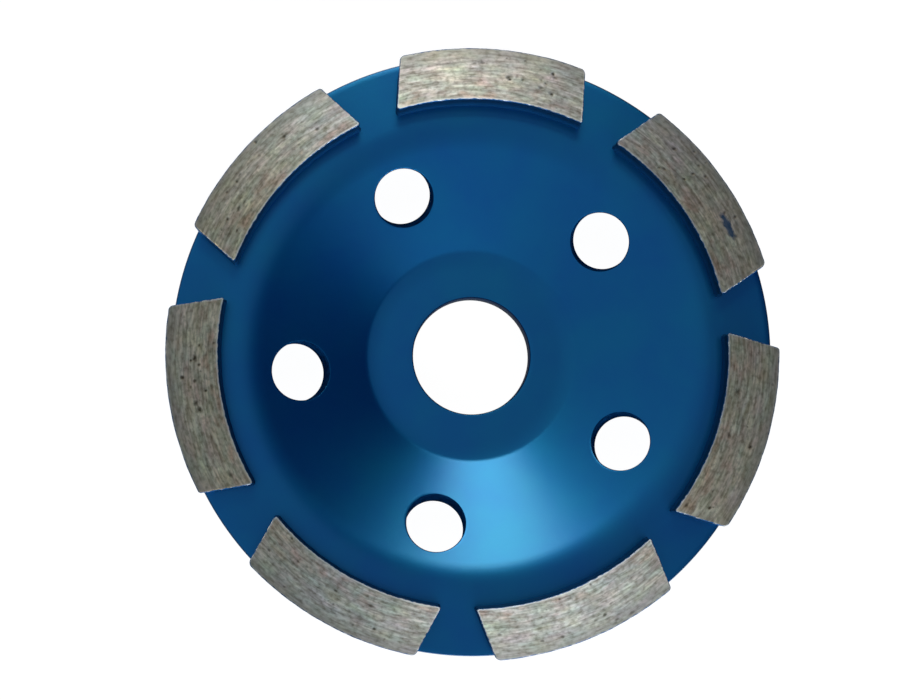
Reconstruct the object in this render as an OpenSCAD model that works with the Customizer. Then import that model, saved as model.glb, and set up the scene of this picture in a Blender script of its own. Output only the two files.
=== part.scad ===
// Single-row diamond cup wheel for a small angle grinder.
// A pressed and turned steel cup carries sintered segments brazed round its rim.
// The wheel lies on its back: the hub's back seat is at z = 0, the spindle axis is Z
// and the segments face up. All sizes are in millimetres.

/* [Segments] */
// Diameter over the segments, the nominal size of the wheel (4 inch)
wheel_d = 101.6; // [100:0.2:110]
// Number of segments round the rim
segment_count = 7; // [4:1:8]
// Length of a segment, square to its middle radius
segment_len = 31; // [20:0.5:35]
// Radial width of a segment
segment_w = 8.7; // [6:0.1:9.6]
// Height of a segment above the rim face
segment_h = 5; // [3:0.25:8]
// Bevel along the top edges of a segment
segment_edge = 0.25; // [0.1:0.05:0.6]
// Distance that the segments stand out past the rim
segment_overhang = 0.45; // [0:0.05:1.5]
// Angle of the first segment's middle radius, from +X
segment_start = 86.5; // [0:0.5:360]

/* [Cup] */
// Thickness of the wall and of the rim
wall_t = 4; // [3:0.25:5]
// Slope of the conical wall
wall_angle = 17; // [12:0.5:25]
// Width of the flat rim face, from the wall's bend to the rim's edge
rim_w = 10; // [9.5:0.25:11.5]
// Radius of the bend from the wall up into the rim face
rim_bend_r = 18.5; // [8:0.5:22]
// Bevel along both edges of the rim
rim_edge = 0.5; // [0.2:0.1:1]

/* [Hub] */
// Diameter of the spindle bore
bore_d = 20; // [16:0.01:22.23]
// Thickness of the hub plate
hub_t = 5; // [4:0.25:7]
// Diameter of the dead flat seat for the flange nut
nut_seat_d = 29.6; // [26:0.2:34]
// Diameter of the crease where the hub disc meets the wall
hub_d = 35.9; // [35:0.1:38]
// Slope that the hub disc reaches at the crease
dish_angle = 7; // [3:0.5:10]
// Diameter of the flat seat on the back, against the grinder's flange
back_seat_d = 40; // [36:0.5:44]
// Radius of the cove where the back seat's boss meets the wall
back_cove_r = 1; // [0.5:0.1:1.2]
// Bevel along both edges of the bore and the edge of the back seat
bore_edge = 0.5; // [0.2:0.1:0.8]

/* [Vent holes] */
// Number of vent holes in the wall
vent_count = 5; // [3:1:8]
// Diameter of a vent hole
vent_d = 10; // [6:0.2:10.6]
// Diameter of the circle that the vent holes' centres lie on, on the wall's face
vent_circle_d = 58.8; // [56:0.2:60]
// Bevel round both mouths of a vent hole
vent_edge = 0.3; // [0.1:0.1:0.6]
// Angle of the first vent hole, from +X
vent_start = 113.7; // [0:0.1:360]

/* [Hidden] */
$fn = 180;
// Facets of each rounded corner in a section
corner_steps = 8;
// Length that a cutter runs past the face it cuts
past = 1;

wheel_r = wheel_d / 2;
rim_r = wheel_r - segment_overhang;
rim_in_r = rim_r - rim_w;
segment_in_r = wheel_r - segment_w;
bore_r = bore_d / 2;
hub_r = hub_d / 2;
nut_seat_r = nut_seat_d / 2;
back_seat_r = back_seat_d / 2;
vent_r = vent_d / 2;
vent_circle_r = vent_circle_d / 2;

// The hub disc curves up from the nut seat to the crease
dish_r = (hub_r - nut_seat_r) / sin(dish_angle);
crease_z = hub_t + dish_r * (1 - cos(dish_angle));

// The wall runs from the crease to where it meets the rim's bend
wall_end_r = rim_in_r - rim_bend_r * sin(wall_angle);
rim_z = wall_z(wall_end_r) + rim_bend_r * (1 - cos(wall_angle));
rim_back_z = rim_z - wall_t;
rim_bend_z = rim_z - rim_bend_r;

function segment_name(k) = str("segment_", k);

// Height of the wall's front face at a radius, and of its back face
function wall_z(r) = crease_z + (r - hub_r) * tan(wall_angle);
function wall_back_z(r) = wall_z(r) - wall_t / cos(wall_angle);

// Points along an arc from angle a to angle b
function arc(centre, r, a, b) =
    [for (i = [0 : corner_steps])
        let (t = a + (b - a) * i / corner_steps)
        centre + r * [cos(t), sin(t)]];

// Section of the cup to the right of its axis, anticlockwise from the bore's back edge
function cup_section() = concat(
    [[bore_r + bore_edge, 0],
     [back_seat_r - bore_edge, 0],
     [back_seat_r, bore_edge]],
    back_cove(),
    arc([rim_in_r, rim_bend_z], rim_bend_r - wall_t, 90 + wall_angle, 90),
    [[rim_r - rim_edge, rim_back_z],
     [rim_r, rim_back_z + rim_edge],
     [rim_r, rim_z - rim_edge],
     [rim_r - rim_edge, rim_z]],
    arc([rim_in_r, rim_bend_z], rim_bend_r, 90, 90 + wall_angle),
    arc([nut_seat_r, hub_t + dish_r], dish_r, dish_angle - 90, -90),
    [[bore_r + bore_edge, hub_t],
     [bore_r, hub_t - bore_edge],
     [bore_r, bore_edge]]);

// The cove touches the side of the back seat's boss and the wall's back face,
// and is no larger than the height of the boss has room for
function back_cove() =
    let (boss_h = wall_back_z(back_seat_r) - bore_edge,
         r = min(back_cove_r, boss_h / (1 / cos(wall_angle) - tan(wall_angle))),
         x = back_seat_r + r,
         z = wall_back_z(x) - r / cos(wall_angle))
    arc([x, z], r, 180, 90 + wall_angle);

module vent_cutter() {
    translate([vent_circle_r, 0, wall_z(vent_circle_r)])
    rotate([0, -wall_angle, 0]) {
        translate([0, 0, -wall_t - past])
            cylinder(h = wall_t + 2 * past, r = vent_r);
        translate([0, 0, -vent_edge])
            cylinder(h = vent_edge + past, r1 = vent_r, r2 = vent_r + vent_edge + past);
        translate([0, 0, -wall_t - past])
            cylinder(h = vent_edge + past, r1 = vent_r + vent_edge + past, r2 = vent_r);
    }
}

// Pressed steel cup: hub plate, conical wall with vent holes, flat rim
module cup_body() {
    color("#11527f")
    difference() {
        rotate_extrude() polygon(cup_section());
        for (k = [0 : vent_count - 1])
            rotate([0, 0, vent_start - k * 360 / vent_count])
                vent_cutter();
    }
}

// Section of the ring that a segment is a piece of
module segment_section() {
    polygon([[segment_in_r, 0],
             [wheel_r, 0],
             [wheel_r, segment_h - segment_edge],
             [wheel_r - segment_edge, segment_h],
             [segment_in_r + segment_edge, segment_h],
             [segment_in_r, segment_h - segment_edge]]);
}

// Outline of a segment seen along its middle radius
module segment_front() {
    half = segment_len / 2;
    polygon([[-half, 0],
             [half, 0],
             [half, segment_h - segment_edge],
             [half - segment_edge, segment_h],
             [-half + segment_edge, segment_h],
             [-half, segment_h - segment_edge]]);
}

// Sintered segment: arched along the rim, with ends parallel to its middle radius
module segment(k) {
    color("#a9a79d")
    rotate([0, 0, segment_start - (k - 1) * 360 / segment_count])
    translate([0, 0, rim_z])
    intersection() {
        rotate_extrude() segment_section();
        rotate([90, 0, 90]) linear_extrude(height = wheel_r + past) segment_front();
    }
}

cup_body();
for (k = [1 : segment_count])
    segment(k);
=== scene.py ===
"""Looks of a single-row diamond cup wheel that lies on its back, with its segments up.

The cup is pressed and turned steel under a satin blue spray paint. Seven sintered segments
are brazed round its rim, and their tops have been ground bare of paint.
"""
import math

import bmesh
import bpy
import numpy as np
from mathutils import Matrix, Vector


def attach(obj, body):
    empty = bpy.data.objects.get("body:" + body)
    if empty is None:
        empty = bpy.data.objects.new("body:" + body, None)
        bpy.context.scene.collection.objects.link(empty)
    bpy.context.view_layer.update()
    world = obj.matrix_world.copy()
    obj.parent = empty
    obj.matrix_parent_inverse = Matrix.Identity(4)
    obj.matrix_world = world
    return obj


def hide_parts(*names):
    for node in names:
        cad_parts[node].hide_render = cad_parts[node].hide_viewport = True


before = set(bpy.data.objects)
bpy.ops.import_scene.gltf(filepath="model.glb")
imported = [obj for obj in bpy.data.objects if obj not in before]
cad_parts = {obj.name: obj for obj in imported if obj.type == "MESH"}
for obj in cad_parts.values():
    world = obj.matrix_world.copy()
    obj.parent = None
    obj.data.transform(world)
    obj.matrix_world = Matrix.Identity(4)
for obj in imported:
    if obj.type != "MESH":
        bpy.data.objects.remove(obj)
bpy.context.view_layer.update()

# Sizes of the wheel in millimetres, as in the CAD source. Only the vents lie 0.35 mm further in and are 0.1 mm narrower,
# where a second measuring of the photograph puts them.
MM = 0.001
WHEEL_R = 50.8
RIM_R = 50.35
RIM_IN_R = 40.35
RIM_Z = 11.196
RIM_BACK_Z = 7.196
RIM_BEND_Z = -7.304
RIM_BEND_R = 18.5
RIM_EDGE = 0.5
RIM_LIP = 0.2
WALL_T = 4.0
WALL_SLOPE = math.radians(17)
WALL_END_R = RIM_IN_R - RIM_BEND_R * math.sin(WALL_SLOPE)
BACK_END_R = RIM_IN_R - (RIM_BEND_R - WALL_T) * math.sin(WALL_SLOPE)
BORE_R = 10.0
BORE_EDGE = 0.2
HUB_T = 5.0
HUB_R = 17.95
NUT_SEAT_R = 14.8
DISH_R = 25.85
CREASE_Z = 5.193
BACK_SEAT_R = 20.0
COVE_R = 1.0
VENT_R = 4.95
VENT_LIP = 0.2
VENT_CIRCLE_R = 29.05
VENT_COUNT = 5
VENT_START = 113.7
SEGMENT_COUNT = 7
SEGMENT_START = 86.5
SEGMENT_LEN = 31.2
# They were brazed on by hand, and in the photograph they sit this many degrees off even steps.
SEGMENT_TURNS = (-0.1, -0.45, -0.65, -0.4, 0.25, 0.25, 0.35)
SEGMENT_IN_R = 42.1
SEGMENT_TOP = 16.196

# Columns round the wheel. A fifth of them lies on each vent's share of the wall.
COLUMNS = 240
SHARE = COLUMNS // VENT_COUNT
WALL_ROWS = 28


# Meshes

def new_piece(name, points, faces, stands_for, materials, face_material=None):
    """Makes one piece of the wheel from points in millimetres and a list of face arrays, and lets it stand for a CAD node."""
    mesh = bpy.data.meshes.new(name)
    mesh.from_pydata((points * MM).tolist(), [], [f for block in faces for f in block.tolist()])
    for material in materials:
        mesh.materials.append(material)
    if face_material is not None:
        mesh.polygons.foreach_set("material_index", face_material)
    mesh.polygons.foreach_set("use_smooth", np.ones(len(mesh.polygons), bool))
    piece = bpy.data.objects.new(name, mesh)
    bpy.context.scene.collection.objects.link(piece)
    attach(piece, "root")
    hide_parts(stands_for)
    return piece


def weld(piece, distance):
    """Merges the points of neighbouring patches that lie in the same place."""
    shape = bmesh.new()
    shape.from_mesh(piece.data)
    bmesh.ops.remove_doubles(shape, verts=shape.verts, dist=distance)
    shape.to_mesh(piece.data)
    shape.free()


def grid_faces(rows, columns, first, closed, flipped):
    """Quads between neighbouring rows and columns of points that are numbered row by row from first."""
    across = columns if closed else columns - 1
    i, j = np.meshgrid(np.arange(rows - 1), np.arange(across), indexing="ij")
    k = (j + 1) % columns
    quads = np.stack([i * columns + j, (i + 1) * columns + j, (i + 1) * columns + k, i * columns + k], -1)
    quads = quads.reshape(-1, 4) + first
    return quads[:, ::-1] if flipped else quads


def arc(centre, radius, start, end, count):
    """Points of a circle in the section: the centre plus radius times the cosine and sine of evenly spaced angles."""
    turn = np.radians(np.linspace(start, end, count))
    return np.column_stack([centre[0] + radius * np.cos(turn), centre[1] + radius * np.sin(turn)])


def joined(*stretches):
    """One line of points from several stretches, with the shared end points kept once."""
    return np.concatenate([stretches[0]] + [s[1:] for s in stretches[1:]])


def value_noise(u, v, seed):
    """Seeded heights from 0 to 1 on a unit grid, eased between the four corners round each point."""
    heights = np.random.default_rng(seed).random((97, 89))
    iu = np.floor(u).astype(int)
    iv = np.floor(v).astype(int)
    fu = u - iu
    fv = v - iv
    fu = fu * fu * (3 - 2 * fu)
    fv = fv * fv * (3 - 2 * fv)
    low = heights[iu % 97, iv % 89] * (1 - fu) + heights[(iu + 1) % 97, iv % 89] * fu
    high = heights[iu % 97, (iv + 1) % 89] * (1 - fu) + heights[(iu + 1) % 97, (iv + 1) % 89] * fu
    return low * (1 - fv) + high * fv


# The cup

def wall_z(r):
    """Height of the wall's front cone at radius r."""
    return CREASE_Z + (r - HUB_R) * math.tan(WALL_SLOPE)


def wall_back_z(r):
    """Height of the wall's back cone at radius r, one wall thickness below the front, measured square to it."""
    return wall_z(r) - WALL_T / math.cos(WALL_SLOPE)


def crease():
    """Parabola from the hub's dish to the wall with its control point at the crease, so that the slope turns gently."""
    turn = math.radians(7) - 0.35 / DISH_R
    start = np.array([NUT_SEAT_R + DISH_R * math.sin(turn), HUB_T + DISH_R * (1 - math.cos(turn))])
    middle = np.array([HUB_R, CREASE_Z])
    end = middle + 0.35 * np.array([math.cos(WALL_SLOPE), math.sin(WALL_SLOPE)])
    t = np.linspace(0, 1, 6)[:, None]
    return (1 - t) ** 2 * start + 2 * t * (1 - t) * middle + t ** 2 * end


def hub_section():
    """Section of the hub: from the back wall down the cove and boss, over the back seat, up the bore and out to the wall."""
    cove = np.array([BACK_SEAT_R + COVE_R, wall_back_z(BACK_SEAT_R + COVE_R) - COVE_R / math.cos(WALL_SLOPE)])
    dish_centre = (NUT_SEAT_R, HUB_T + DISH_R)
    return joined(
        arc(cove, COVE_R, 107, 180, 9),
        arc((BACK_SEAT_R - 0.4, 0.4), 0.4, 0, -90, 6),
        np.linspace([BACK_SEAT_R - 0.4, 0], [BORE_R + BORE_EDGE, 0], 11),
        arc((BORE_R + BORE_EDGE, BORE_EDGE), BORE_EDGE, -90, -180, 7),
        np.linspace([BORE_R, BORE_EDGE], [BORE_R, HUB_T - BORE_EDGE], 7),
        arc((BORE_R + BORE_EDGE, HUB_T - BORE_EDGE), BORE_EDGE, 180, 90, 7),
        np.linspace([BORE_R + BORE_EDGE, HUB_T], [NUT_SEAT_R, HUB_T], 8),
        arc(dish_centre, DISH_R, -90, -83.7758, 9),
        crease(),
    )


def rim_section():
    """Section of the rim: from the front wall round the bend, over the rim face, down its edge and back to the back wall."""
    bend = (RIM_IN_R, RIM_BEND_Z)
    return joined(
        arc(bend, RIM_BEND_R, 107, 90, 14),
        np.linspace([RIM_IN_R, RIM_Z], [RIM_R - RIM_LIP, RIM_Z], 12),
        arc((RIM_R - RIM_LIP, RIM_Z - RIM_LIP), RIM_LIP, 90, 0, 6),
        np.linspace([RIM_R, RIM_Z - RIM_LIP], [RIM_R, RIM_BACK_Z + RIM_EDGE], 6),
        arc((RIM_R - RIM_EDGE, RIM_BACK_Z + RIM_EDGE), RIM_EDGE, 0, -90, 7),
        np.linspace([RIM_R - RIM_EDGE, RIM_BACK_Z], [RIM_IN_R, RIM_BACK_Z], 12),
        arc(bend, RIM_BEND_R - WALL_T, 90, 107, 12),
    )


def turned(section):
    """Surface of revolution: each point of the section carried round the spindle axis."""
    turn = np.radians(VENT_START + np.arange(COLUMNS) * 360 / COLUMNS)[None, :]
    r = section[:, :1]
    z = np.broadcast_to(section[:, 1:], (len(section), COLUMNS))
    return np.stack([r * np.cos(turn), r * np.sin(turn), z], -1).reshape(-1, 3)


def vent_frame(angle):
    """Centre of a vent's mouth on the wall, and the directions out along the wall, round the wheel and out of the wall."""
    c, s = math.cos(angle), math.sin(angle)
    centre = np.array([VENT_CIRCLE_R * c, VENT_CIRCLE_R * s, wall_z(VENT_CIRCLE_R)])
    out = np.array([math.cos(WALL_SLOPE) * c, math.cos(WALL_SLOPE) * s, math.sin(WALL_SLOPE)])
    along = np.array([-s, c, 0.0])
    return centre, out, along, np.cross(out, along)


def on_cone(angle, turn, reach, height):
    """Points of a vent's cylinder where it meets a cone: at distance reach from the vent's axis and angle turn round it,
    moved along the axis in a few steps until their height equals the cone's height at their radius."""
    centre, out, along, normal = vent_frame(angle)
    base = centre + reach[..., None] * (np.cos(turn)[..., None] * out + np.sin(turn)[..., None] * along)
    shift = np.zeros(base.shape[:-1])
    for _ in range(12):
        p = base + shift[..., None] * normal
        shift -= (p[..., 2] - height(np.hypot(p[..., 0], p[..., 1]))) * math.cos(WALL_SLOPE)
    return base + shift[..., None] * normal


def share_edge(inner_r, outer_r):
    """Edge of one vent's share of the wall as radius and angle: out, round, in and back, with its angle seen from the vent."""
    half = math.pi / VENT_COUNT
    round_ = np.linspace(-half, half, SHARE + 1)
    inward = np.linspace(outer_r, inner_r, WALL_ROWS + 1)
    r = np.concatenate([
        np.full(SHARE, outer_r), inward[:-1], np.full(SHARE, inner_r), inward[::-1][:-1],
    ])
    a = np.concatenate([round_[:-1], np.full(WALL_ROWS, half), round_[::-1][:-1], np.full(WALL_ROWS, -half)])
    seen = np.unwrap(np.arctan2(r * np.sin(a), (r * np.cos(a) - VENT_CIRCLE_R) / math.cos(WALL_SLOPE)))
    return r, a, seen


def vent_turns(seen):
    """Angles of the vent's mouth that belong to the points of its share's edge, halfway between seen and even steps."""
    even = seen[0] + np.arange(len(seen)) * 2 * math.pi / len(seen)
    return (seen + even) / 2


def wall_share(angle, inner_r, outer_r, height):
    """One vent's share of a cone: rings that lead in radius and angle from the vent's lip to the share's edge."""
    r, a, seen = share_edge(inner_r, outer_r)
    lip = on_cone(angle, vent_turns(seen), np.full(len(seen), VENT_R + VENT_LIP), height)
    lip_r = np.hypot(lip[:, 0], lip[:, 1])
    lip_a = (np.arctan2(lip[:, 1], lip[:, 0]) - angle + math.pi) % (2 * math.pi) - math.pi
    w = (np.linspace(0, 1, 19)[:, None]) ** 1.25
    ring_r = lip_r * (1 - w) + r * w
    ring_a = lip_a * (1 - w) + a * w + angle
    return np.stack([ring_r * np.cos(ring_a), ring_r * np.sin(ring_a), height(ring_r)], -1).reshape(-1, 3)


def vent_wall(angle, front_turns, back_turns):
    """Wall of a vent: a quarter round lip at the front, straight down square to the wall, and a quarter round lip at the back."""
    _, _, _, normal = vent_frame(angle)
    bend = np.radians(np.linspace(0, 90, 7))[:, None]
    reach = VENT_R + VENT_LIP * (1 - np.sin(bend)) + np.zeros(len(front_turns))
    drop = VENT_LIP * (1 - np.cos(bend))
    front = on_cone(angle, front_turns + np.zeros(reach.shape), reach, wall_z) - drop[..., None] * normal
    back = on_cone(angle, back_turns + np.zeros(reach.shape), reach, wall_back_z) + drop[..., None] * normal
    w = np.linspace(0, 1, 7)[1:-1, None, None]
    middle = front[-1] * (1 - w) + back[-1] * w
    return np.concatenate([front, middle, back[::-1]])


def make_cup(paint, bare, vent_shade):
    """The cup: turned hub and rim, and the wall between them in five shares with a vent each, front and back."""
    points, faces, kinds = [], [], []
    count = 0

    def take(block, rows, columns, flipped, kind):
        nonlocal count
        quads = grid_faces(rows, columns, count, True, flipped)
        points.append(block)
        faces.append(quads)
        kinds.append(np.broadcast_to(kind, (rows - 1, 1)).repeat(columns, 1).reshape(-1))
        count += len(block)

    hub = hub_section()
    near_bore = np.abs(hub[:, 0] - BORE_R) < 0.9 * BORE_EDGE
    bore_rows = near_bore[:-1] & near_bore[1:]
    take(turned(hub), len(hub), COLUMNS, False, bore_rows.astype(int)[:, None])
    rim = rim_section()
    take(turned(rim), len(rim), COLUMNS, False, 0)
    front_seen = vent_turns(share_edge(hub[-1, 0], rim[0, 0])[2])
    back_seen = vent_turns(share_edge(hub[0, 0], rim[-1, 0])[2])
    for k in range(VENT_COUNT):
        angle = math.radians(VENT_START - k * 360 / VENT_COUNT)
        take(wall_share(angle, hub[-1, 0], rim[0, 0], wall_z), 19, len(front_seen), False, 0)
        take(wall_share(angle, hub[0, 0], rim[-1, 0], wall_back_z), 19, len(back_seen), True, 0)
        vent = vent_wall(angle, front_seen, back_seen)
        inside = np.zeros((len(vent) - 1, 1), int)
        # The vent walls take the third material, a dark navy that is painted shade; the lips' outermost rows keep the
        # paint.
        inside[1:-1] = 2
        take(vent.reshape(-1, 3), len(vent), len(front_seen), True, inside)
    cup = new_piece(
        "cup", np.concatenate(points), faces, "cup_body",
        [paint, bare, vent_shade], np.concatenate(kinds),
    )
    weld(cup, 2e-6)
    return cup


# The segments

def edge_steps(half, edge, count):
    """Places from -half to half: close steps round the edges at both ends and even ones between."""
    bend = np.radians(np.linspace(0, 90, 6))[:-1]
    near = half - edge * (1 - np.cos(bend))
    flat = np.linspace(half - edge, -(half - edge), count)
    return np.concatenate([near, flat, -near[::-1]])[::-1]


def segment_plan(number):
    """Grid over length x and radius r. The squares at its corners are drawn in to quarter discs, each with its own radius.
    Returns x and r as drawn in, and each point's distance inside the outline."""
    half_x = SEGMENT_LEN / 2
    half_q = (WHEEL_R - SEGMENT_IN_R) / 2
    x, q = np.meshgrid(edge_steps(half_x, 0.3, 226), edge_steps(half_q, 0.3, 62), indexing="ij")
    inside = np.minimum(half_x - np.abs(x), half_q - np.abs(q))
    chance = np.random.default_rng(40 + number).uniform(0.35, 0.8, (2, 2))
    corner = chance[(x > 0).astype(int), (q > 0).astype(int)]
    a = np.clip(np.abs(x) - (half_x - corner), 0, None)
    b = np.clip(np.abs(q) - (half_q - corner), 0, None)
    pull = np.where((a > 0) & (b > 0), np.maximum(a, b) / np.maximum(np.hypot(a, b), 1e-9), 1.0)
    x = x - np.sign(x) * a * (1 - pull)
    q = q - np.sign(q) * b * (1 - pull)
    return x, SEGMENT_IN_R + half_q + q, inside


def segment_top(number):
    """Top of a segment: the plan's grid, lowered by a quarter round at the edges whose radius wanders, by grooves that run
    round the wheel, by shallow hollows and by pits. Returns the points, the depth of the pits and the distance inside."""
    x, r, inside = segment_plan(number)
    s = x + 57.0 * number
    chip = 0.6 * value_noise(s / 0.9, r / 0.9, 11) + 0.4 * value_noise(s / 0.35, r / 0.35, 12)
    edge = 0.16 + 0.42 * np.clip(chip - 0.35, 0, None) ** 1.3
    gap = np.clip(edge - inside, 0, edge)
    drop = edge - np.sqrt(edge * edge - gap * gap)
    groove = 0.010 * value_noise(s / 6.5, r / 0.3, 13) + 0.025 * value_noise(s / 13, r / 0.9, 14)
    hollow = 0.06 * value_noise(s / 7.5, r / 3.4, 15)
    ragged = 0.45 * value_noise(s / 0.35, r / 0.3, 16) + 0.25 * value_noise(s / 0.9, r / 0.6, 17)
    chance = np.random.default_rng(60 + number)
    count = chance.integers(12, 24)
    # Most pits lie in two loose clusters, and a few stand alone.
    near = chance.uniform((-13, 43.2), (13, 49.8), (2, 2))[chance.integers(0, 2, count)]
    spot = near + chance.normal(0, 1, (count, 2)) * (3.4, 1.5)
    alone = chance.random(count) < 0.3
    spot[alone] = chance.uniform((-14.5, 42.8), (14.5, 50.2), (count, 2))[alone]
    half = chance.uniform(0.2, 0.42, count) * np.where(chance.random(count) < 0.2, 1.5, 1.0)
    long = half * chance.uniform(1.0, 1.8, count)
    deep = 0.05 * chance.uniform(0.3, 1.0, count)
    pit = np.zeros_like(s)
    for (centre, middle_r), across, along, depth in zip(spot, half, long, deep):
        away = np.hypot((x - centre) / along, (r - middle_r) / across) + ragged
        pit = np.maximum(pit, depth * np.clip(1.9 - 1.6 * away, 0, 1))
    fade = np.clip(inside / 0.3, 0, 1)
    fall = drop + fade * (groove + hollow + pit)
    lump = value_noise(s / 2.2, r / 2.2, 19) + value_noise(s / 0.7, r / 0.7, 20)
    wander = 0.05 * lump * (1 - fade)
    middle = (WHEEL_R + SEGMENT_IN_R) / 2
    r = r - wander * np.clip((r - middle) / 3.9, -1, 1)
    x = x - wander * np.clip(x / 15, -1, 1)
    return np.stack([x, np.sqrt(r * r - x * x), SEGMENT_TOP - fall], -1), pit, inside


def make_segment(number, bond, dull):
    """One segment: its top, its sides that follow the top's outline down to the rim, and its foot. The sides go in and out
    by a few hundredths, and at the foot they flare into the braze, but not at the outside, where the segment stands out."""
    top, pit, inside = segment_top(number)
    rows, columns = pit.shape
    line = np.arange(rows * columns).reshape(rows, columns)
    ring = np.concatenate([line[:-1, 0], line[-1, :-1], line[:0:-1, -1], line[0, :0:-1]])
    top = top.reshape(-1, 3)
    rim = top[ring]
    steps = np.array([0.06, 0.2, 0.4, 0.6, 0.78, 0.88, 0.95, 1.0])[:, None]
    r = np.hypot(rim[:, 0], rim[:, 1])
    middle = (WHEEL_R + SEGMENT_IN_R) / 2
    out_r = np.sign(r - middle) * np.clip(np.abs(r - middle) - 3.75, 0, None)
    out_x = np.sign(rim[:, 0]) * np.clip(np.abs(rim[:, 0]) - 14.9, 0, None)
    size = np.maximum(np.hypot(out_r, out_x), 1e-6)
    lump = value_noise(rim[:, 0] / 1.1 + 57.0 * number + 3.3 * steps, r / 1.1 + 4.1 * steps, 21)
    move = -0.09 * lump * np.sin(math.pi * steps)
    foot = 0.14 * np.clip((steps - 0.84) / 0.16, 0, 1) ** 2
    move = move + foot * np.clip((middle + 3 - r) / 1.5, 0, 1)
    x = rim[:, 0] + move * out_x / size
    r = r + move * out_r / size
    z = rim[:, 2] * (1 - steps) + RIM_Z * steps
    side = np.stack([x, np.sqrt(r * r - x * x), z], -1).reshape(-1, 3)

    first = len(top)
    count = len(ring)
    here = np.arange(count)
    after = np.roll(here, -1)
    collar = np.column_stack([ring, first + here, first + after, ring[after]])
    sides = grid_faces(len(steps), count, first, True, False)
    foot_face = first + (len(steps) - 1) * count + here[::-1]
    points = np.concatenate([top, side])
    turn = math.radians(SEGMENT_START - (number - 1) * 360 / SEGMENT_COUNT + SEGMENT_TURNS[number - 1] - 90)
    spin = np.array([[math.cos(turn), math.sin(turn), 0], [-math.sin(turn), math.cos(turn), 0], [0, 0, 1]])
    top_faces = grid_faces(rows, columns, 0, False, False)
    faces = [top_faces, collar, sides, foot_face[None, :]]
    painted = np.ones(sum(len(block) for block in faces), int)
    painted[:len(top_faces)] = 0
    piece = new_piece(
        "grinding_segment_%d" % number, points @ spin, faces,
        "segment_%d" % number, [bond, dull], painted,
    )
    mesh = piece.data
    radius = np.hypot(points[:, 0], points[:, 1])
    length = points[:, 0] * middle / radius + 57.0 * number
    corners = np.zeros(len(mesh.loops), int)
    mesh.loops.foreach_get("vertex_index", corners)
    layer = mesh.uv_layers.new(name="along_rim")
    layer.data.foreach_set("uv", (np.column_stack([radius, length])[corners] * MM).reshape(-1))
    depth = np.zeros(len(points))
    depth[:first] = (pit / 0.05).reshape(-1)
    mesh.attributes.new("pit", "FLOAT", "POINT").data.foreach_set("value", depth)
    gap = np.zeros(len(points))
    gap[:first] = inside.reshape(-1) * MM
    mesh.attributes.new("edge_gap", "FLOAT", "POINT").data.foreach_set("value", gap)
    return piece


# Materials

def colour(code):
    """Linear colour of an sRGB hex code."""
    parts = [int(code[i:i + 2], 16) / 255 for i in (1, 3, 5)]
    return [p / 12.92 if p <= 0.04045 else ((p + 0.055) / 1.055) ** 2.4 for p in parts] + [1.0]


def add(tree, kind, inputs=None, stops=(), **settings):
    """Adds one node. Settings are its properties, inputs are values or the outputs that feed its sockets, and stops are
    the (place, colour) pairs of a colour ramp, from its low end up."""
    made = tree.nodes.new(kind)
    for name, value in settings.items():
        setattr(made, name, value)
    for place, shade in stops[2:]:
        made.color_ramp.elements.new(place)
    for number, (place, shade) in enumerate(stops):
        made.color_ramp.elements[number].position = place
        made.color_ramp.elements[number].color = colour(shade)
    for socket, value in (inputs or {}).items():
        if isinstance(value, bpy.types.NodeSocket):
            tree.links.new(value, made.inputs[socket])
        else:
            made.inputs[socket].default_value = value
    return made


def blank(name):
    """A material with nothing in it but its output."""
    material = bpy.data.materials.new(name)
    material.use_nodes = True
    tree = material.node_tree
    tree.nodes.clear()
    return material, tree, add(tree, "ShaderNodeOutputMaterial")


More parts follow.
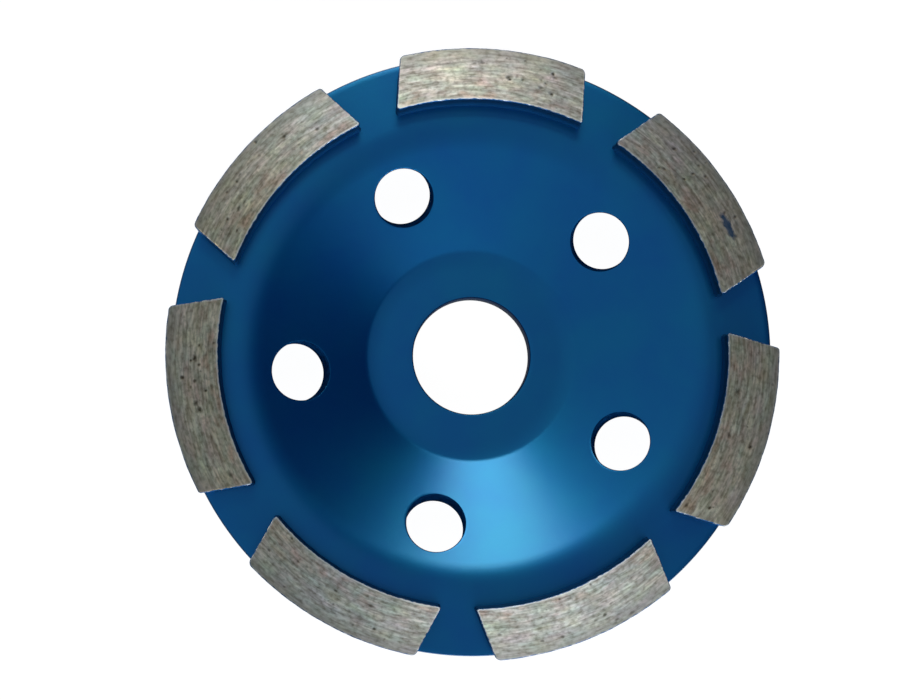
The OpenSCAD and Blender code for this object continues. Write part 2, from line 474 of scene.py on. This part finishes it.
def blue_paint():
    """Satin metallic spray paint over turned steel: a clear blue that keeps the gloss of the metal flakes in it, with a
    thin clear top that adds a little white to the highlight, an orange peel of 0.4 mm and the turning marks below."""
    material, tree, output = blank("satin_metallic_blue_paint")
    place = add(tree, "ShaderNodeTexCoord").outputs["Object"]
    flat = add(tree, "ShaderNodeVectorMath", {0: place, 1: (1, 1, 0)}, operation="MULTIPLY").outputs[0]
    radius = add(tree, "ShaderNodeVectorMath", {0: flat}, operation="LENGTH").outputs["Value"]
    cloud = add(tree, "ShaderNodeTexNoise", {"Vector": place, "Scale": 90.0, "Detail": 3.0}).outputs[0]
    shade = add(tree, "ShaderNodeValToRGB", {0: cloud}, stops=[(0.3, "#006fbb"), (0.7, "#007dbb")]).outputs[0]
    # The film draws back from the rim's sharp edge, where dark steel shows through; the dark navy on the rounded edge
    # is also a painted dark reflection.
    height = add(tree, "ShaderNodeSeparateXYZ", {0: place}).outputs[2]
    out = add(tree, "ShaderNodeMapRange", {0: radius, 1: (RIM_R - 0.3) * MM, 2: (RIM_R - 0.1) * MM}).outputs[0]
    up = add(tree, "ShaderNodeMapRange", {0: height, 1: (RIM_Z - 0.5) * MM, 2: (RIM_Z - 0.25) * MM}).outputs[0]
    low = add(tree, "ShaderNodeMapRange", {0: height, 1: (RIM_Z + 0.3) * MM, 2: (RIM_Z + 0.1) * MM}).outputs[0]
    lip = add(tree, "ShaderNodeMath", {0: out, 1: up}, operation="MULTIPLY").outputs[0]
    lip = add(tree, "ShaderNodeMath", {0: lip, 1: low}, operation="MULTIPLY").outputs[0]
    shade = add(tree, "ShaderNodeMix", {0: lip, 6: shade, 7: colour("#054066")}, data_type="RGBA").outputs[2]
    peel = add(tree, "ShaderNodeTexNoise", {"Vector": place, "Scale": 2300.0, "Detail": 2.0}).outputs[0]
    rings = add(tree, "ShaderNodeTexNoise", {"W": radius, "Scale": 1700.0, "Detail": 2.0}, noise_dimensions="1D").outputs[0]
    ring_bump = add(tree, "ShaderNodeBump", {"Strength": 0.35, "Distance": 0.000006, "Height": rings})
    bump = add(tree, "ShaderNodeBump", {"Strength": 0.5, "Distance": 0.00001, "Height": peel, "Normal": ring_bump.outputs[0]})
    paint = add(tree, "ShaderNodeBsdfPrincipled", {
        "Base Color": shade, "Metallic": 0.97, "Roughness": 0.29, "Coat Weight": 0.6, "Coat Roughness": 0.2,
        "Normal": bump.outputs[0],
    })
    tree.links.new(paint.outputs[0], output.inputs[0])
    return material


def bore_steel():
    """Mild steel bored on a lathe, with fine turning marks, under a thin film of spray that flanges have rubbed. Its
    dark navy is partly painted shade in the bore.
    """
    material, tree, output = blank("bored_mild_steel_with_painted_shade")
    place = add(tree, "ShaderNodeTexCoord").outputs["Object"]
    height = add(tree, "ShaderNodeSeparateXYZ", {0: place}).outputs[2]
    marks = add(tree, "ShaderNodeTexNoise", {"W": height, "Scale": 6000.0, "Detail": 2.0}, noise_dimensions="1D").outputs[0]
    cloud = add(tree, "ShaderNodeTexNoise", {"Vector": place, "Scale": 500.0, "Detail": 3.0}).outputs[0]
    rubbed = add(tree, "ShaderNodeMath", {0: cloud, 1: -0.004, 2: height}, operation="MULTIPLY_ADD").outputs[0]
    rubbed = add(tree, "ShaderNodeMapRange", {0: rubbed, 1: 0.0010, 2: -0.0004, 3: 0.0, 4: 0.7}).outputs[0]
    # The film's dark navy is partly painted shade inside the bore; the grey is the rubbed steel.
    shade = add(tree, "ShaderNodeMix", {0: rubbed, 6: colour("#03203f"), 7: colour("#3d4349")}, data_type="RGBA").outputs[2]
    bump = add(tree, "ShaderNodeBump", {"Strength": 0.6, "Distance": 0.00001, "Height": marks})
    steel = add(tree, "ShaderNodeBsdfPrincipled", {
        "Base Color": shade, "Metallic": 0.25, "Roughness": 0.6, "Specular IOR Level": 0.0, "Normal": bump.outputs[0],
    })
    tree.links.new(steel.outputs[0], output.inputs[0])
    return material


def vent_painted_shade():
    """Punched steel under a thin mist of spray, coloured dark, dull and blue: painted shade for the inside of the
    vents.
    """
    material, tree, output = blank("punched_steel_painted_shade")
    place = add(tree, "ShaderNodeTexCoord").outputs["Object"]
    cloud = add(tree, "ShaderNodeTexNoise", {"Vector": place, "Scale": 900.0, "Detail": 4.0}).outputs[0]
    shade = add(tree, "ShaderNodeValToRGB", {0: cloud}, stops=[(0.35, "#021c3c"), (0.7, "#043058")]).outputs[0]
    bump = add(tree, "ShaderNodeBump", {"Strength": 0.6, "Distance": 0.00003, "Height": cloud})
    steel = add(tree, "ShaderNodeBsdfPrincipled", {
        "Base Color": shade, "Metallic": 0.0, "Roughness": 0.8, "Specular IOR Level": 0.0, "Normal": bump.outputs[0],
    })
    tree.links.new(steel.outputs[0], output.inputs[0])
    return material


def side_paint():
    """The same blue on the segments' sides, where it went on thin and dull over rough sintered metal: dark near the top
    and fuller at the foot, which is painted shade, and full on the outer side, which the spray hit squarely."""
    material, tree, output = blank("blue_paint_on_segment_sides_with_painted_shade")
    place = add(tree, "ShaderNodeTexCoord").outputs["Object"]
    cloud = add(tree, "ShaderNodeTexNoise", {"Vector": place, "Scale": 1100.0, "Detail": 3.0}).outputs[0]
    height = add(tree, "ShaderNodeSeparateXYZ", {0: place}).outputs[2]
    height = add(tree, "ShaderNodeMath", {0: cloud, 1: 0.001, 2: height}, operation="MULTIPLY_ADD").outputs[0]
    low_down = add(tree, "ShaderNodeMapRange", {0: height, 1: (RIM_Z + 3.2) * MM, 2: (RIM_Z + 0.9) * MM}).outputs[0]
    # Painted shade: the dark navy near the top of the sides, fading to a fuller blue towards the foot.
    painted_lighting = add(tree, "ShaderNodeValToRGB", {0: cloud}, stops=[(0.32, "#021a30"), (0.66, "#032848")]).outputs[0]
    shade = add(tree, "ShaderNodeMix", {0: low_down, 6: painted_lighting, 7: colour("#04385f")}, data_type="RGBA").outputs[2]
    flat = add(tree, "ShaderNodeVectorMath", {0: place, 1: (1, 1, 0)}, operation="MULTIPLY").outputs[0]
    radius = add(tree, "ShaderNodeVectorMath", {0: flat}, operation="LENGTH").outputs["Value"]
    outside = add(tree, "ShaderNodeMapRange", {0: radius, 1: 0.0485, 2: 0.0503}).outputs[0]
    full = add(tree, "ShaderNodeValToRGB", {0: cloud}, stops=[(0.3, "#075084"), (0.6, "#0a64a0")]).outputs[0]
    shade = add(tree, "ShaderNodeMix", {0: outside, 6: shade, 7: full}, data_type="RGBA").outputs[2]
    bump = add(tree, "ShaderNodeBump", {"Strength": 0.6, "Distance": 0.00004, "Height": cloud})
    paint = add(tree, "ShaderNodeBsdfPrincipled", {
        "Base Color": shade, "Metallic": 0.5, "Roughness": 0.55, "Specular IOR Level": 0.1, "Normal": bump.outputs[0],
    })
    tree.links.new(paint.outputs[0], output.inputs[0])
    return material


def sintered_bond():
    """Bronze and iron powder sintered with diamond grit, ground bare: soft streaks that run round the wheel and stretch
    the gloss across them, a mottle of 0.5 mm, warm and cool tones of the mixed powders in patches of 1 to 3 mm, a light
    line where the blue spray begins, which is a painted highlight, pits darkened as painted shade, a browner tint at
    the left and the right as painted warm light, and one low spot in the second segment where some spray was left."""
    material, tree, output = blank("sintered_metal_bond_ground_bare")
    place = add(tree, "ShaderNodeTexCoord").outputs["Object"]
    uv = add(tree, "ShaderNodeUVMap", uv_map="along_rim").outputs[0]
    pit = add(tree, "ShaderNodeAttribute", attribute_name="pit").outputs["Fac"]
    gap = add(tree, "ShaderNodeAttribute", attribute_name="edge_gap").outputs["Fac"]
    # Cells of four noises, in parts of a millimetre across the rim and along it.
    wide = add(tree, "ShaderNodeVectorMath", {0: uv, 1: (1250, 190, 1)}, operation="MULTIPLY").outputs[0]
    thin = add(tree, "ShaderNodeVectorMath", {0: uv, 1: (2600, 330, 1)}, operation="MULTIPLY").outputs[0]
    grain = add(tree, "ShaderNodeVectorMath", {0: uv, 1: (1700, 1100, 1)}, operation="MULTIPLY").outputs[0]
    patch = add(tree, "ShaderNodeVectorMath", {0: uv, 1: (560, 240, 1)}, operation="MULTIPLY").outputs[0]
    broad = add(tree, "ShaderNodeTexNoise", {"Vector": wide, "Scale": 1.0, "Detail": 2.0}).outputs[0]
    narrow = add(tree, "ShaderNodeTexNoise", {"Vector": thin, "Scale": 1.0, "Detail": 2.0}).outputs[0]
    mottle = add(tree, "ShaderNodeTexNoise", {"Vector": grain, "Scale": 1.0, "Detail": 3.0}).outputs[0]
    powder = add(tree, "ShaderNodeTexNoise", {"Vector": patch, "Scale": 1.0, "Detail": 2.0})
    metal = add(tree, "ShaderNodeValToRGB", {0: broad}, stops=[(0.30, "#c6c3ba"), (0.70, "#fcf9f0")]).outputs[0]
    lines = add(tree, "ShaderNodeValToRGB", {0: narrow}, stops=[(0.32, "#cac8c3"), (0.62, "#ffffff")]).outputs[0]
    spots = add(tree, "ShaderNodeValToRGB", {0: mottle}, stops=[(0.28, "#c2c0ba"), (0.56, "#ffffff")]).outputs[0]
    metal = add(tree, "ShaderNodeMix", {0: 1.0, 6: metal, 7: lines}, data_type="RGBA", blend_type="MULTIPLY").outputs[2]
    metal = add(tree, "ShaderNodeMix", {0: 1.0, 6: metal, 7: spots}, data_type="RGBA", blend_type="MULTIPLY").outputs[2]
    tone = add(tree, "ShaderNodeVectorMath", {
        0: powder.outputs["Color"], 1: (0.42, 0.22, 0.46), 2: (0.81, 0.905, 0.78),
    }, operation="MULTIPLY_ADD").outputs[0]
    metal = add(tree, "ShaderNodeMix", {0: 1.0, 6: metal, 7: tone}, data_type="RGBA", blend_type="MULTIPLY").outputs[2]
    # Painted warm light: the segments at the left and the right are tinted browner, after the warm light they reflect
    # there.
    flat = add(tree, "ShaderNodeVectorMath", {0: place, 1: (1, 1, 0)}, operation="MULTIPLY").outputs[0]
    across = add(tree, "ShaderNodeVectorMath", {0: flat}, operation="NORMALIZE").outputs[0]
    aside = add(tree, "ShaderNodeSeparateXYZ", {0: across}).outputs[0]
    aside = add(tree, "ShaderNodeMath", {0: aside}, operation="ABSOLUTE").outputs[0]
    aside = add(tree, "ShaderNodeMapRange", {0: aside, 1: 0.55, 2: 0.85}).outputs[0]
    painted_lighting = add(tree, "ShaderNodeMix", {0: aside, 6: colour("#fafbfe"), 7: colour("#fff5e4")}, data_type="RGBA").outputs[2]
    metal = add(tree, "ShaderNodeMix", {0: 1.0, 6: metal, 7: painted_lighting}, data_type="RGBA", blend_type="MULTIPLY").outputs[2]
    # Bronze shows more towards the inner edge.
    radius = add(tree, "ShaderNodeSeparateXYZ", {0: uv}).outputs[0]
    bronze = add(tree, "ShaderNodeSeparateXYZ", {0: powder.outputs["Color"]}).outputs[2]
    bronze = add(tree, "ShaderNodeMapRange", {0: bronze, 1: 0.50, 2: 0.64}).outputs[0]
    inner = add(tree, "ShaderNodeMapRange", {0: radius, 1: 0.0475, 2: 0.0435, 3: 0.15, 4: 0.7}).outputs[0]
    bronze = add(tree, "ShaderNodeMath", {0: bronze, 1: inner}, operation="MULTIPLY").outputs[0]
    warm = add(tree, "ShaderNodeMix", {0: bronze, 6: colour("#ffffff"), 7: colour("#f4dcc8")}, data_type="RGBA").outputs[2]
    metal = add(tree, "ShaderNodeMix", {0: 1.0, 6: metal, 7: warm}, data_type="RGBA", blend_type="MULTIPLY").outputs[2]
    # The pits are darker the deeper they are: painted shade in the hollows.
    painted_pit_shade = add(tree, "ShaderNodeValToRGB", {0: pit}, stops=[(0.02, "#ffffff"), (0.9, "#69655b")]).outputs[0]
    metal = add(tree, "ShaderNodeMix", {0: 1.0, 6: metal, 7: painted_pit_shade}, data_type="RGBA", blend_type="MULTIPLY").outputs[2]
    # The left-over spray is 1.5 mm wide and 5 mm long.
    away = add(tree, "ShaderNodeVectorMath", {0: uv, 1: (0.0473, 0.1206, 0)}, operation="SUBTRACT").outputs[0]
    away = add(tree, "ShaderNodeVectorMath", {0: away, 1: (1300, 330, 0)}, operation="MULTIPLY").outputs[0]
    away = add(tree, "ShaderNodeVectorMath", {0: away}, operation="LENGTH").outputs["Value"]
    away = add(tree, "ShaderNodeMath", {0: mottle, 1: away}, operation="ADD").outputs[0]
    left = add(tree, "ShaderNodeMapRange", {0: away, 1: 1.45, 2: 1.0, 3: 0.0, 4: 0.85}).outputs[0]
    metal = add(tree, "ShaderNodeMix", {0: left, 6: metal, 7: colour("#22547a")}, data_type="RGBA").outputs[2]
    # The outer 2.5 mm are worn darker. Along the inner edge a light line about 0.3 mm wide is a painted highlight,
    # strongest towards the inner radius, and the spray begins past it.
    worn = add(tree, "ShaderNodeMath", {0: broad, 1: 0.003, 2: radius}, operation="MULTIPLY_ADD").outputs[0]
    worn = add(tree, "ShaderNodeMapRange", {0: worn, 1: 0.0496, 2: 0.0524, 3: 0.0, 4: 0.55}).outputs[0]
    metal = add(tree, "ShaderNodeMix", {0: worn, 6: metal, 7: colour("#8c8981")}, data_type="RGBA").outputs[2]
    rag = add(tree, "ShaderNodeMath", {0: mottle, 1: 0.0004, 2: gap}, operation="MULTIPLY_ADD").outputs[0]
    inner = add(tree, "ShaderNodeMapRange", {0: radius, 1: 0.0460, 2: 0.0430, 3: 0.12, 4: 0.65}).outputs[0]
    painted_edge_highlight = add(tree, "ShaderNodeMapRange", {0: rag, 1: 0.00066, 2: 0.00044, 3: 0.0, 4: inner}).outputs[0]
    metal = add(tree, "ShaderNodeMix", {0: painted_edge_highlight, 6: metal, 7: colour("#f2f6f7")}, data_type="RGBA").outputs[2]
    bare = add(tree, "ShaderNodeMapRange", {0: rag, 1: 0.00028, 2: 0.00040}).outputs[0]
    shade = add(tree, "ShaderNodeMix", {0: bare, 6: colour("#0b4a7a"), 7: metal}, data_type="RGBA").outputs[2]
    rough = add(tree, "ShaderNodeMapRange", {0: broad, 1: 0.3, 2: 0.7, 3: 0.48, 4: 0.42}).outputs[0]
    bump = add(tree, "ShaderNodeBump", {"Strength": 0.5, "Distance": 0.00001, "Height": narrow})
    bond = add(tree, "ShaderNodeBsdfPrincipled", {
        "Base Color": shade, "Metallic": 0.92, "Roughness": rough, "Anisotropic": 0.75, "Tangent": across,
        "Normal": bump.outputs[0],
    })
    tree.links.new(bond.outputs[0], output.inputs[0])
    return material


# The stage

def make_floor():
    """A pale floor. What looks at it straight or by reflection sees it nearly white, and a faint shadow stays."""
    size = 3.0
    mesh = bpy.data.meshes.new("floor")
    low = -0.0001
    mesh.from_pydata([(-size, -size, low), (size, -size, low), (size, size, low), (-size, size, low)], [], [(0, 1, 2, 3)])
    floor = bpy.data.objects.new("floor", mesh)
    bpy.context.scene.collection.objects.link(floor)
    material, tree, output = blank("pale_floor")
    matt = add(tree, "ShaderNodeBsdfDiffuse", {"Color": (0.85, 0.85, 0.85, 1)}).outputs[0]
    white = add(tree, "ShaderNodeEmission", {"Color": (1, 1, 1, 1), "Strength": 1.085}).outputs[0]
    path = add(tree, "ShaderNodeLightPath").outputs
    seen = add(tree, "ShaderNodeMath", {0: path["Is Camera Ray"], 1: path["Is Glossy Ray"]}, operation="MAXIMUM").outputs[0]
    seen = add(tree, "ShaderNodeMath", {0: seen, 1: path["Is Transmission Ray"]}, operation="MAXIMUM").outputs[0]
    share = add(tree, "ShaderNodeMath", {0: seen, 1: 0.9}, operation="MULTIPLY").outputs[0]
    mixed = add(tree, "ShaderNodeMixShader", {0: share, 1: matt, 2: white}).outputs[0]
    tree.links.new(mixed, output.inputs[0])
    mesh.materials.append(material)
    return floor


def make_studio():
    """Soft light from all round: a low band that is brightest above and below the picture, a dimmer ceiling, and a dark
    wall to the right, which the left side of the cup mirrors. What the camera sees past the floor is white."""
    world = bpy.data.worlds.new("studio")
    world.use_nodes = True
    bpy.context.scene.world = world
    tree = world.node_tree
    tree.nodes.clear()
    output = add(tree, "ShaderNodeOutputWorld")
    look = add(tree, "ShaderNodeTexCoord").outputs["Generated"]
    rise = add(tree, "ShaderNodeSeparateXYZ", {0: look}).outputs[2]
    flat = add(tree, "ShaderNodeVectorMath", {0: look, 1: (1, 1, 0)}, operation="MULTIPLY").outputs[0]
    bearing = add(tree, "ShaderNodeVectorMath", {0: flat}, operation="NORMALIZE").outputs[0]

    # The low band, whose two bright stretches lie at bearings 97 and 287 degrees.
    way = (math.cos(math.radians(97)), math.sin(math.radians(97)), 0)
    ahead = add(tree, "ShaderNodeVectorMath", {0: bearing, 1: way}, operation="DOT_PRODUCT").outputs["Value"]
    way = (math.cos(math.radians(287)), math.sin(math.radians(287)), 0)
    behind = add(tree, "ShaderNodeVectorMath", {0: bearing, 1: way}, operation="DOT_PRODUCT").outputs["Value"]
    both = add(tree, "ShaderNodeMath", {0: ahead, 1: behind}, operation="MAXIMUM").outputs[0]
    peak = add(tree, "ShaderNodeMapRange", {0: ahead, 1: -0.5, 2: 0.5, 3: 11.2, 4: 4.1}).outputs[0]
    band = add(tree, "ShaderNodeMapRange", {
        0: both, 1: 0.77, 2: 0.985, 3: 1.22, 4: peak,
    }, interpolation_type="SMOOTHSTEP").outputs[0]
    foot = add(tree, "ShaderNodeMapRange", {0: rise, 1: 0.2, 2: 0.5, 3: 0.2, 4: 1.0}).outputs[0]
    band = add(tree, "ShaderNodeMath", {0: band, 1: foot}, operation="MULTIPLY").outputs[0]
    band = add(tree, "ShaderNodeVectorMath", {0: (0.94, 1.0, 1.08), "Scale": band}, operation="SCALE").outputs[0]
    low_down = add(tree, "ShaderNodeMapRange", {0: rise, 1: 0.68, 2: 0.46}, interpolation_type="SMOOTHSTEP").outputs[0]
    level = add(tree, "ShaderNodeMix", {0: low_down, 6: (0.18, 0.245, 0.285, 1), 7: band}, data_type="RGBA").outputs[2]
    # The dark wall, at bearing 24 degrees and 45 to 67 degrees to both sides of it.
    way = (math.cos(math.radians(24)), math.sin(math.radians(24)), 0)
    aside = add(tree, "ShaderNodeVectorMath", {0: bearing, 1: way}, operation="DOT_PRODUCT").outputs["Value"]
    wide = add(tree, "ShaderNodeMapRange", {0: aside, 1: 0.39, 2: 0.71}, interpolation_type="SMOOTHSTEP").outputs[0]
    under = add(tree, "ShaderNodeMapRange", {0: rise, 1: 0.99, 2: 0.94}, interpolation_type="SMOOTHSTEP").outputs[0]
    over = add(tree, "ShaderNodeMapRange", {0: rise, 1: 0.06, 2: 0.22}, interpolation_type="SMOOTHSTEP").outputs[0]
    tall = add(tree, "ShaderNodeMath", {0: under, 1: over}, operation="MULTIPLY").outputs[0]
    cover = add(tree, "ShaderNodeMath", {0: tall, 1: wide}, operation="MULTIPLY").outputs[0]
    light = add(tree, "ShaderNodeMix", {0: cover, 6: level, 7: (0.0, 0.0, 0.05, 1)}, data_type="RGBA").outputs[2]
    studio = add(tree, "ShaderNodeBackground", {"Color": light, "Strength": 1.0}).outputs[0]
    white = add(tree, "ShaderNodeBackground", {"Color": (1, 1, 1, 1), "Strength": 1.0}).outputs[0]
    straight = add(tree, "ShaderNodeLightPath").outputs["Is Camera Ray"]
    mixed = add(tree, "ShaderNodeMixShader", {0: straight, 1: studio, 2: white}).outputs[0]
    tree.links.new(mixed, output.inputs[0])


def make_lamp():
    """A round lamp of 270 mm that stands 0.8 m away towards the top of the picture, 32 degrees off the spindle axis."""
    data = bpy.data.lights.new("lamp", "AREA")
    data.shape = "DISK"
    data.size = 0.27
    data.energy = 0.7
    data.color = (1.0, 0.89, 0.64)
    lamp = bpy.data.objects.new("lamp", data)
    bpy.context.scene.collection.objects.link(lamp)
    way = Vector((0.005, 0.53, 0.84)).normalized()
    lamp.location = Vector((0, 0, 0.01)) + way * 0.8
    lamp.rotation_euler = way.to_track_quat("Z", "Y").to_euler()
    lamp.visible_camera = False


def make_camera():
    """The camera looks almost straight down, 5 degrees off the spindle axis, from 0.31 m away from the rim's centre."""
    data = bpy.data.cameras.new("camera")
    data.sensor_width = 36.0
    data.lens = 74.2
    data.shift_x = -0.0278
    data.shift_y = 0.0038
    data.clip_start = 0.01
    camera = bpy.data.objects.new("camera", data)
    bpy.context.scene.collection.objects.link(camera)
    way = Vector((-0.0527, -0.0698, 1.0)).normalized()
    camera.location = Vector((0, 0, RIM_Z * MM)) + way * 0.31
    right = Vector((0, 1, 0)).cross(way).normalized()
    camera.rotation_euler = Matrix((right, way.cross(right), way)).transposed().to_euler()
    bpy.context.scene.camera = camera


make_cup(blue_paint(), bore_steel(), vent_painted_shade())
bond = sintered_bond()
dull = side_paint()
for number in range(1, SEGMENT_COUNT + 1):
    make_segment(number, bond, dull)
make_floor()
make_studio()
make_lamp()
make_camera()
bpy.context.scene.view_settings.view_transform = "Standard"
